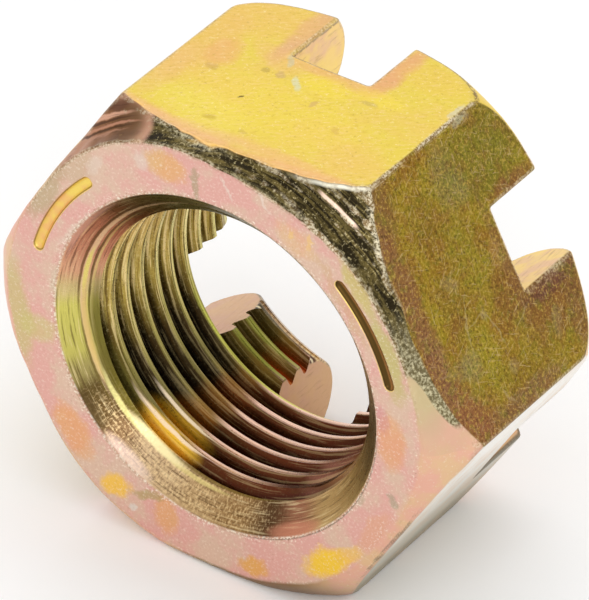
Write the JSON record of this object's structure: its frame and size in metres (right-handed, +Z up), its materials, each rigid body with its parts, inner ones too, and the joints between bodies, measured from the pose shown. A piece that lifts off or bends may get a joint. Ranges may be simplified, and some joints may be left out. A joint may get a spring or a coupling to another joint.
{
  "type": "castle nut",
  "caption": "Hexagonal castle nut for a split pin: a chamfered hex body with a threaded bore, countersunk at both ends, and slots across one end over the flats.",
  "frame": {"origin": "middle of the flat that the nut lies on, halfway between its two ends", "axes": "+Y along the thread axis, from the bearing face towards the slotted end; +Z up, square to the flat on top; +X towards one of the two corners at the sides"},
  "size_m": [0.0486, 0.0246, 0.0422],
  "materials": {
    "zinc_yellow": "steel, zinc plated, yellow chromate with pink and green tints"
  },
  "bodies": {
    "root": {"castle_nut": "zinc_yellow"}
  },
  "joints": []
}
